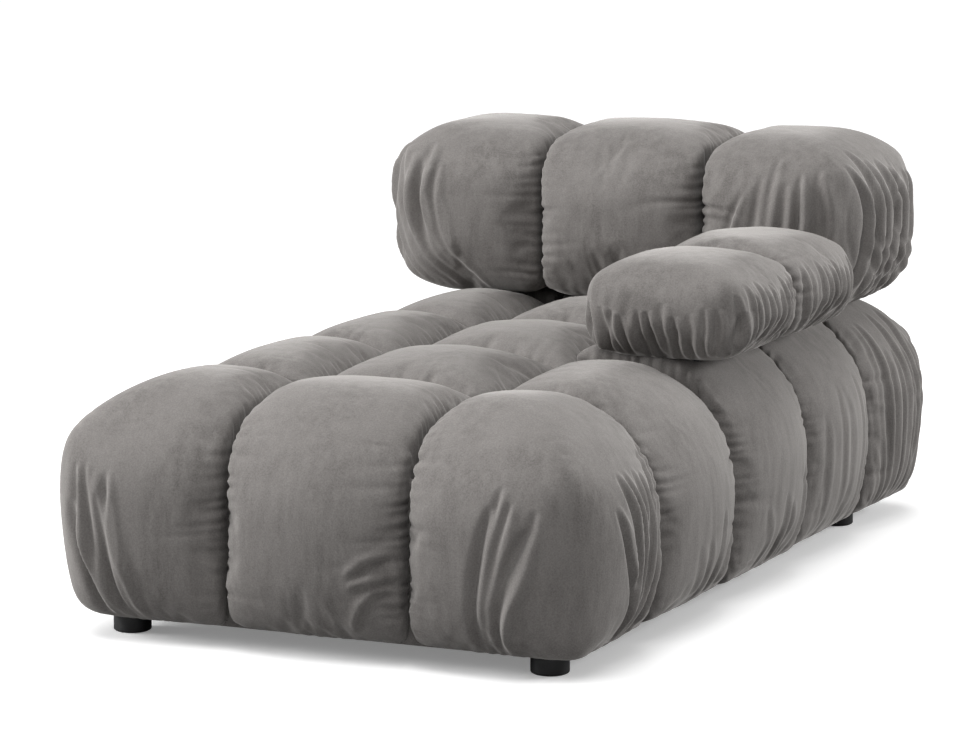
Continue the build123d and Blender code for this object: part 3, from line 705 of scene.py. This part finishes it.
# Fans of folds: pad, face, number, depth and half width in mm, then the first and the last fold.
# The points of a fold are shares of the face; the folds between the two are blends of them.
FANS = [
    ("seat_pad_row1_column1", "y0", 6, 9, 8,
     [(0.15, 0.58), (0.18, 0.36), (0.27, 0.16), (0.37, 0.0)],
     [(0.46, 0.68), (0.47, 0.42), (0.52, 0.18), (0.59, 0.0)]),
    ("seat_pad_row1_column2", "y0", 3, 5, 6,
     [(0.74, 0.16), (0.88, 0.19), (1.0, 0.22)],
     [(0.74, 0.32), (0.88, 0.36), (1.0, 0.40)]),
    ("seat_pad_row1_column3", "y0", 5, 10, 8,
     [(0.44, 0.68), (0.38, 0.44), (0.36, 0.20), (0.39, 0.0)],
     [(0.76, 0.60), (0.65, 0.38), (0.56, 0.16), (0.53, 0.0)]),
    ("seat_pad_row1_column3", "x1", 7, 9, 7,
     [(0.30, 0.66), (0.42, 0.42), (0.50, 0.20), (0.48, 0.0)],
     [(0.97, 0.76), (0.92, 0.46), (0.80, 0.20), (0.62, 0.0)]),
    ("seat_pad_row5_column3", "x1", 11, 6, 7,
     [(0.12, 0.84), (0.09, 0.48), (0.16, 0.03)],
     [(0.90, 0.84), (0.96, 0.48), (0.80, 0.03)]),
    ("seat_pad_row4_column3", "x1", 5, 2.4, 9,
     [(0.16, 0.70), (0.12, 0.40), (0.20, 0.03)],
     [(0.88, 0.75), (0.92, 0.4), (0.84, 0.03)]),
    ("seat_pad_row3_column3", "x1", 4, 2.6, 8,
     [(0.24, 0.34), (0.28, 0.18), (0.34, 0.02)],
     [(0.84, 0.44), (0.84, 0.2), (0.74, 0.02)]),
    ("seat_pad_row2_column3", "x1", 4, 2.6, 8,
     [(0.20, 0.30), (0.24, 0.16), (0.32, 0.02)],
     [(0.86, 0.40), (0.84, 0.2), (0.72, 0.02)]),
    ("backrest_pad_1", "y0", 7, 10, 9,
     [(0.02, 0.80), (0.01, 0.52), (0.10, 0.24), (0.30, 0.02)],
     [(0.42, 0.84), (0.40, 0.56), (0.49, 0.26), (0.68, 0.0)]),
    ("backrest_pad_3", "y0", 6, 8, 8,
     [(0.28, 0.80), (0.20, 0.48), (0.16, 0.12)],
     [(0.80, 0.92), (0.86, 0.52), (0.76, 0.12)]),
    ("backrest_pad_3", "x1", 7, 9, 8,
     [(0.12, 0.88), (0.16, 0.56), (0.14, 0.25), (0.06, 0.02)],
     [(0.80, 0.86), (0.86, 0.56), (0.80, 0.25), (0.64, 0.02)]),
    ("armrest_pad_1", "y0", 12, 7, 6,
     [(0.03, 0.52), (0.06, 0.28), (0.10, 0.02)],
     [(0.97, 0.58), (0.95, 0.30), (0.90, 0.02)]),
    ("armrest_pad_1", "x1", 10, 5, 5,
     [(0.06, 0.70), (0.08, 0.40), (0.12, 0.04)],
     [(0.92, 0.78), (0.94, 0.42), (0.90, 0.04)]),
    ("armrest_pad_2", "x1", 10, 5, 5,
     [(0.08, 0.78), (0.06, 0.42), (0.10, 0.04)],
     [(0.94, 0.70), (0.92, 0.40), (0.88, 0.04)]),
    ("armrest_pad_1", "x0", 9, 5, 6,
     [(0.08, 0.60), (0.08, 0.34), (0.12, 0.04)],
     [(0.92, 0.60), (0.92, 0.34), (0.90, 0.04)]),
    ("armrest_pad_2", "x0", 9, 5, 6,
     [(0.08, 0.60), (0.08, 0.34), (0.12, 0.04)],
     [(0.92, 0.60), (0.92, 0.34), (0.90, 0.04)]),
    ("seat_pad_row1_column1", "x0", 6, 7, 8,
     [(0.30, 0.55), (0.40, 0.3), (0.46, 0.0)],
     [(0.96, 0.62), (0.90, 0.34), (0.70, 0.0)]),
    ("seat_pad_row5_column1", "x0", 8, 8, 8,
     [(0.10, 0.80), (0.08, 0.45), (0.16, 0.03)],
     [(0.90, 0.80), (0.94, 0.45), (0.78, 0.03)]),
    ("seat_pad_row5_column1", "y1", 6, 7, 8,
     [(0.10, 0.60), (0.14, 0.32), (0.24, 0.02)],
     [(0.86, 0.62), (0.86, 0.34), (0.74, 0.02)]),
    ("seat_pad_row5_column2", "y1", 5, 5, 8,
     [(0.12, 0.44), (0.16, 0.24), (0.22, 0.02)],
     [(0.88, 0.50), (0.84, 0.26), (0.76, 0.02)]),
    ("seat_pad_row5_column3", "y1", 6, 7, 8,
     [(0.14, 0.62), (0.14, 0.34), (0.26, 0.02)],
     [(0.90, 0.60), (0.86, 0.32), (0.74, 0.02)]),
    ("backrest_pad_1", "x0", 7, 8, 8,
     [(0.12, 0.86), (0.14, 0.5), (0.16, 0.03)],
     [(0.88, 0.86), (0.86, 0.5), (0.76, 0.03)]),
    ("backrest_pad_1", "y1", 6, 7, 8,
     [(0.12, 0.70), (0.14, 0.4), (0.24, 0.02)],
     [(0.86, 0.66), (0.86, 0.36), (0.78, 0.02)]),
    ("backrest_pad_3", "y1", 6, 7, 8,
     [(0.14, 0.66), (0.14, 0.36), (0.22, 0.02)],
     [(0.88, 0.70), (0.86, 0.4), (0.76, 0.02)]),
]

def hem(depth, short, long, pitch, rare, zone=None, sway=0.5):
    """A stretch of gathers along a pad's lower edge; the zone is measured round the pad."""
    named = {"depth": depth, "short": short, "long": long, "pitch": pitch}
    return {**named, "rare": rare, "zone": zone, "sway": sway}


# Gathers along the lower edges: depth, shortest and longest reach, pitch, rarity of long ones, and zone.
HEMS = {
    "seat_pad_row5_column3": [hem(0.0034, 0.10, 0.34, 0.019, 0.8, (0.05, 0.75))],
    "seat_pad_row5_column1": [hem(0.0050, 0.08, 0.30, 0.023, 1.0, (-0.75, -0.05))],
    "seat_pad_row5_column2": [hem(0.0035, 0.05, 0.20, 0.026, 1.6)],
    "seat_pad_row4_column3": [hem(0.0013, 0.04, 0.26, 0.024, 1.4)],
    "seat_pad_row3_column3": [hem(0.0009, 0.04, 0.20, 0.027, 1.6)],
    "seat_pad_row2_column3": [hem(0.0009, 0.04, 0.18, 0.028, 1.6)],
    "seat_pad_row4_column1": [hem(0.0022, 0.04, 0.22, 0.026, 1.6)],
    "seat_pad_row3_column1": [hem(0.0020, 0.04, 0.20, 0.028, 1.6)],
    "seat_pad_row2_column1": [hem(0.0024, 0.04, 0.22, 0.026, 1.6)],
    "seat_pad_row1_column2": [hem(0.0010, 0.03, 0.16, 0.030, 2.0)],
    "backrest_pad_1": [hem(0.0040, 0.05, 0.26, 0.024, 1.3, (-0.95, -0.17))],
    "backrest_pad_2": [hem(0.0026, 0.03, 0.14, 0.024, 1.8)],
    "backrest_pad_3": [hem(0.0045, 0.06, 0.28, 0.020, 1.1, (0.15, 0.95))],
    "armrest_pad_1": [
        hem(0.0058, 0.035, 0.105, 0.0235, 1.1, (-0.32, 0.13)),
        hem(0.0030, 0.09, 0.16, 0.0125, 0.8, (0.11, 0.44), sway=0.3),
    ],
    "armrest_pad_2": [
        hem(0.0030, 0.09, 0.16, 0.0125, 0.8, (0.11, 0.46), sway=0.3),
        hem(0.0030, 0.03, 0.10, 0.020, 1.4, (-0.46, -0.11), sway=0.4),
    ],
}


HEM_DEPTH, FOLD_DEPTH, FOLD_WIDTH = 1.8, 1.35, 0.95  # shares of the tables' depths and widths
SLOW_WAVE = 0.004
SEAM_GAP, MOST_PROUD, MOST_HIGH = 0.0006, 0.006, 0.008


def rest_underside(points):
    """The height of the lowest rest surface over each point, or a great height where no rest is above."""
    lowest = np.full(len(points), FAR_AWAY)
    for pad in PADS:
        if pad.body == "base":
            continue
        near = np.all(np.abs(points[:, :2] - pad.centre[:2]) < pad.half[:2] + 0.01, axis=1)
        spots = points[near].copy()
        if not len(spots):
            continue
        low, high = np.full(len(spots), 0.3), np.full(len(spots), pad.centre[2])
        spots[:, 2] = high
        covered = pad.field(spots) < 0
        for _ in range(14):
            spots[:, 2] = (low + high) / 2
            inside = pad.field(spots) < 0
            low, high = np.where(inside, low, spots[:, 2]), np.where(inside, spots[:, 2], high)
        lowest[near] = np.minimum(lowest[near], np.where(covered, low, FAR_AWAY))
    return lowest


def middle(box):
    return (box[0][0] + box[1][0]) / 2, (box[0][1] + box[1][1]) / 2


RAIL_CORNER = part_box("side_rail_right")[1]
LINING_HALF = RAIL_CORNER[0] + 0.004, RAIL_CORNER[1] + 0.004
ROOM_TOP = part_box("spring_felt")[1][2] + 0.002
BACK_POSTS = [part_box(f"backrest_post_{k}") for k in (1, 2)]
ARM_POSTS = [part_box(f"armrest_post_{k}") for k in (1, 2)]
POST_ROOM = 0.0145
WELL_DEPTH = 0.06  # the hollow that takes an armrest post
DISH_RADIUS, DISH_REACH, DISH_SLOPE = 0.024, 0.06, 0.4  # the flat round such a post, and the rise about it
FEET = [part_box(f"foot_{end}_{side}") for end in ("front", "rear") for side in ("left", "right")]
SAG = 0.011  # how far the velvet under the seat hangs between the feet
REST_GAP, REST_SOFT = 0.003, 0.012  # the velvet's gap under a rest, and how softly it is pressed down


def make_room(pad, points, normal):
    """Leaves the timber frame and the rests' posts their space in a seat pad."""
    x, y, z = points.T
    inside = (np.abs(x) < LINING_HALF[0]) & (np.abs(y) < LINING_HALF[1]) & (z < ROOM_TOP)
    points[:, 2] = np.where(inside, ROOM_TOP, z)
    for post in BACK_POSTS:
        px, py = middle(post)
        reach = np.sqrt(np.maximum(POST_ROOM**2 - (y - py) ** 2, 0))
        beside = (np.abs(x - px) < 0.03) & (reach > 0)
        if pad.centre[0] < px:
            points[:, 0] = np.where(beside, np.minimum(x, px - reach), x)
        else:
            points[:, 0] = np.where(beside, np.maximum(x, px + reach), x)
        x = points[:, 0].copy()
    for post in ARM_POSTS:
        px, py = middle(post)
        apart = np.hypot(x - px, y - py)
        upward = normal[:, 2] > 0.5
        dish = ARM_LOW[2] - REST_GAP + DISH_SLOPE * np.maximum(apart - DISH_RADIUS, 0)
        dished = (apart < DISH_REACH) & upward
        points[:, 2] = np.where(dished, np.minimum(points[:, 2], dish), points[:, 2])
        well = (apart < POST_ROOM) & upward
        points[:, 2] -= np.where(well, WELL_DEPTH * (1 - (apart / POST_ROOM) ** 4), 0)


def fan_folds(pad, points, normal):
    """The shift of each fold of the pad's fans."""
    size = pad.high - pad.low
    for name, face, count, depth, width, first, last in FANS:
        if name != pad.name:
            continue
        axis = "xyz".index(face[0])
        plane = [k for k in range(3) if k != axis]
        facing = ramp01(normal[:, axis] * (1 if face[1] == "1" else -1), 0.05, 0.45)
        corner, span = pad.low[plane], size[plane]
        for place in (np.arange(count) + pad.random.uniform(0.15, 0.85, count)) / count:
            path = np.array(first) * (1 - place) + np.array(last) * place
            path[0, 1] += pad.random.uniform(-0.12, 0.06)
            path[1:-1, 0] += pad.random.uniform(-0.02, 0.02, len(path) - 2)
            deep, wide = pad.random.uniform((0.55, 0.8), (1.0, 1.2))
            fold_depth = FOLD_DEPTH * deep * depth / 1000
            fold_width = FOLD_WIDTH * wide * width / 1000
            yield crease(points, corner + path * span, fold_depth, fold_width, plane) * facing


def inside_seams(pad, points):
    """Keeps the folds from passing a seam, and from standing out too far elsewhere."""
    low, high = pad.low.copy(), pad.high.copy()
    for axis, letter in enumerate("xy"):
        low[axis] += SEAM_GAP if letter + "0" in pad.seams else -MOST_PROUD
        high[axis] += -SEAM_GAP if letter + "1" in pad.seams else MOST_PROUD
    high[2] += MOST_HIGH
    return np.clip(points, low, high)


def press(pad, points, normal):
    """Presses a seat pad down under the rests, leaves room for frame and posts, lets its underside hang."""
    under = rest_underside(points) - REST_GAP
    soft = np.maximum(REST_SOFT - np.abs(points[:, 2] - under), 0) ** 2 / (4 * REST_SOFT)
    points[:, 2] = np.where(points[:, 2] > 0.25, np.minimum(points[:, 2], under) - soft, points[:, 2])
    make_room(pad, points, normal)
    sag = SAG * ramp01(points[:, 2], 0.12, 0.03) * ramp01(normal[:, 2], 0.2, -0.4)
    for foot in FEET:
        px, py = middle(foot)
        sag *= ramp01(np.hypot(points[:, 0] - px, points[:, 1] - py), 0.030, 0.040)
    points[:, 2] -= sag


def details(pad, piece):
    """Moves the fine mesh's vertices along their normals by every gather and fold."""
    points, normal = coordinates(piece.data), normals(piece.data)
    shift = np.zeros(len(points))
    for side in sorted(pad.seams):
        shift += gathers(pad, points, side) * (0.25 + 0.75 * ramp01(normal[:, 2], 0.90, 0.45))
    for wanted in HEMS.get(pad.name, []):
        shift += HEM_DEPTH * gathers(pad, points, "z0", **wanted) * ramp01(normal[:, 2], 0.85, 0.3)
    for fold in fan_folds(pad, points, normal):
        shift += fold
    shift += (noise3(points * 9 + 5, pad.seed) - 0.5) * SLOW_WAVE
    shift *= ramp01(normal[:, 2], -0.98, choose(pad.body == "base", -0.60, -0.75))
    points = inside_seams(pad, points + normal * shift[:, None])
    if pad.body == "base":
        press(pad, points, normal)
    piece.data.vertices.foreach_set("co", points.ravel())
    piece.data.update()


def finer(piece):
    """One level of subdivision, applied."""
    piece.modifiers.new("finer", "SUBSURF").levels = 1
    bake(piece)


made = [(pad, link(pad.name, new_mesh(pad.name, pad.surface(), QUADS))) for pad in PADS]
simulate(made)
for pad, piece in made:
    finer(piece)
    details(pad, piece)
    piece.data.materials.clear()
    piece.data.materials.append(VELVET)
    smooth(piece)
    piece.vertex_groups.clear()
    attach(piece, pad.body)

COVERS = {"base": "seat_cover", "backrest": "backrest_cover", "armrest": "armrest_cover"}
for pad, piece in made:
    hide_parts(COVERS[pad.body], pad.name.replace("pad", "foam"))


# ---------------------------------------------------------------- lining, dust cover, staples and eyelets
def loop_points(half_x, half_y, radius, count):
    """A rounded rectangle's outline as evenly spaced points, and its length."""
    angles = np.linspace(0, np.pi / 2, 9)
    corners = []
    for sx, sy, turn in ((1, 1, 0), (-1, 1, 1), (-1, -1, 2), (1, -1, 3)):
        centre = np.array([sx * (half_x - radius), sy * (half_y - radius)])
        turned = angles + turn * np.pi / 2
        corners.append(centre + radius * np.stack([np.cos(turned), np.sin(turned)], 1))
    ring = np.concatenate(corners + [corners[0][:1]])
    lengths = np.concatenate([[0], np.cumsum(np.linalg.norm(np.diff(ring, axis=0), axis=1))])
    places = np.linspace(0, lengths[-1], count, endpoint=False)
    return np.stack([np.interp(places, lengths, ring[:, k]) for k in range(2)], 1), lengths[-1]


def swept(rings, closed_profile=False):
    """Points and quads that join rings of equal length."""
    count = len(rings[0])
    quads = []
    for a in range(len(rings) - (0 if closed_profile else 1)):
        b = (a + 1) % len(rings)
        for k in range(count):
            n = (k + 1) % count
            quads.append([a * count + k, a * count + n, b * count + n, b * count + k])
    return np.concatenate(rings), np.array(quads)


def thicken(piece, thickness, offset):
    """Gives a sheet its thickness, inward (offset -1) or outward (offset 1)."""
    solid = piece.modifiers.new("thickness", "SOLIDIFY")
    solid.thickness, solid.offset = thickness, offset
    bake(piece)
    smooth(piece)


LINING_GAP = 0.0015  # from the room left in the pads
LINING_POINTS = 560


def lining():
    """The velvet drawn down over the timber and stapled under it, which shows where the pads part."""
    top, low = ROOM_TOP + 0.03, SEAT_LOW[2] + 0.001
    levels = [(0.0, z) for z in np.linspace(top, low + 0.006, 26)]
    levels += [(0.001, low + 0.003), (0.003, low + 0.001), (0.006, low), (0.010, low + 0.001)]
    rings = []
    for inset, z in levels:
        half_x, half_y = (half - LINING_GAP - inset for half in LINING_HALF)
        ring, length = loop_points(half_x, half_y, 0.006, LINING_POINTS)
        spots = np.column_stack([ring * 40, np.full(len(ring), z * 5)])
        ripple = 0.0012 * (noise3(spots, 3) - 0.5)
        out = ring / np.linalg.norm(ring, axis=1, keepdims=True)
        rings.append(np.column_stack([ring + out * ripple[:, None], np.full(len(ring), z)]))
    points, quads = swept(rings)
    piece = link("seat_lining", new_mesh("seat_lining", points, quads))
    thicken(piece, 0.001, -1)
    piece.data.materials.append(VELVET)
    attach(piece, "base")


def underside():
    """The dust cover, a little slack between its staples, with its hem turned in."""
    low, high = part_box("dust_cover")
    width, length = high[0] - low[0], high[1] - low[1]
    across, lengthwise = 110, 200
    u, v = np.meshgrid(np.linspace(-1, 1, across + 1), np.linspace(-1, 1, lengthwise + 1), indexing="ij")
    x, y = u * width / 2, v * length / 2
    slack = (1 - u**2) * (1 - v**2)
    flat = np.stack([x * 7, y * 5, x * 0], -1).reshape(-1, 3)
    wrinkle = (noise3(flat, 21) - 0.5).reshape(x.shape)
    edge = np.minimum(width / 2 - np.abs(x), length / 2 - np.abs(y))
    along = np.where(width / 2 - np.abs(x) < length / 2 - np.abs(y), y, x)
    pull = 0.0016 * np.cos(along * 2 * np.pi / 0.06) * np.exp(-edge / 0.025)
    hem = 0.0007 * ramp01(edge, 0.019, 0.017)
    hang = 0.004 * slack**0.5
    creases = 0.0035 * wrinkle * np.minimum(slack * 6, 1)
    z = high[2] - 0.0015 - hang - creases - np.abs(pull) - hem
    points = np.stack([x, y, z], -1).reshape(-1, 3)
    index = np.arange(len(points)).reshape(x.shape)
    corners = [index[:-1, :-1], index[:-1, 1:], index[1:, 1:], index[1:, :-1]]
    quads = np.stack(corners, -1).reshape(-1, 4)
    piece = link("dust_cover_cloth", new_mesh("dust_cover_cloth", points, quads))
    thicken(piece, 0.0006, 1)
    piece.data.materials.append(NONWOVEN)
    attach(piece, "base")
    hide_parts("dust_cover")
    staples(width / 2 - 0.008, length / 2 - 0.008, high[2] - 0.0035)


def staples(half_x, half_y, z):
    """Wire staples round the dust cover's hem, each a bent wire with six sides."""
    radius = 0.0005
    ring, _ = loop_points(half_x, half_y, 0.01, 76)
    ahead = np.roll(ring, -1, axis=0) - ring
    bend = [(-0.0052, 0.003), (-0.0050, 0.0006), (-0.0042, 0), (0.0042, 0), (0.0050, 0.0006), (0.0052, 0.003)]
    points, quads = [], []
    for place, step in zip(ring, ahead):
        step = step / np.linalg.norm(step)
        across = np.array([-step[1], step[0]])
        rings = []
        for offset, rise in bend:
            circle = np.linspace(0, 2 * np.pi, 6, endpoint=False)
            spot = place + step * offset
            wire = [
                [*(spot + across * radius * math.cos(a)), z + rise + radius * math.sin(a)] for a in circle
            ]
            rings.append(np.array(wire))
        part, faces = swept(rings)
        quads.append(faces + sum(len(p) for p in points))
        points.append(part)
    piece = link("staples", new_mesh("staples", np.concatenate(points), np.concatenate(quads)))
    smooth(piece)
    piece.data.materials.append(STEEL)
    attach(piece, "base")


# An eyelet's profile: radius, and height over the cloth.
EYELET = [
    (0.0137, -0.016), (0.0133, -0.004), (0.0134, 0.0002), (0.0142, 0.0012),
    (0.0160, 0.0016), (0.0195, 0.0014), (0.0222, 0.0006), (0.0228, -0.0004),
    (0.0220, -0.0010), (0.0160, -0.0008), (0.0150, -0.004), (0.0150, -0.016),
]


def eyelet(name, x, y, z, side, body):
    """A moulded ring round a post, lying on cloth that faces up (side 1) or down (side -1)."""
    circle = np.linspace(0, 2 * np.pi, 48, endpoint=False)
    rings = []
    for radius, height in EYELET:
        level = np.full(len(circle), z + side * height)
        rings.append(np.column_stack([x + radius * np.cos(circle), y + radius * np.sin(circle), level]))
    points, quads = swept(rings[::side], True)
    piece = link(name, new_mesh(name, points, quads))
    smooth(piece)
    piece.data.materials.append(PLASTIC)
    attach(piece, body)


lining()
underside()
for number, post in enumerate(ARM_POSTS, 1):
    eyelet(f"seat_eyelet_{number}", *middle(post), ARM_LOW[2] - 0.0026, 1, "base")
    eyelet(f"armrest_eyelet_{number}", *middle(post), ARM_LOW[2] + 0.0010, -1, "armrest")
for number, post in enumerate(BACK_POSTS, 1):
    eyelet(f"backrest_eyelet_{number}", *middle(post), BACK_LOW[2] + 0.0010, -1, "backrest")

# ---------------------------------------------------------------- carried-over nodes
FINISHES = {
    "timber": TIMBER, "plywood": PLYWOOD, "zinc_steel": STEEL, "tube_steel": STEEL, "spring_steel": SPRING,
    "black_plastic": PLASTIC, "glide_felt": FELT, "grey_felt": FELT, "underside_cloth": NONWOVEN,
}
for sub in frame["record"]["subparts"]:
    finish = FINISHES.get(sub["material_slot"])
    if finish is None:
        continue
    for slot in nodes[sub["node"]].material_slots:
        slot.link = "OBJECT"
        slot.material = finish
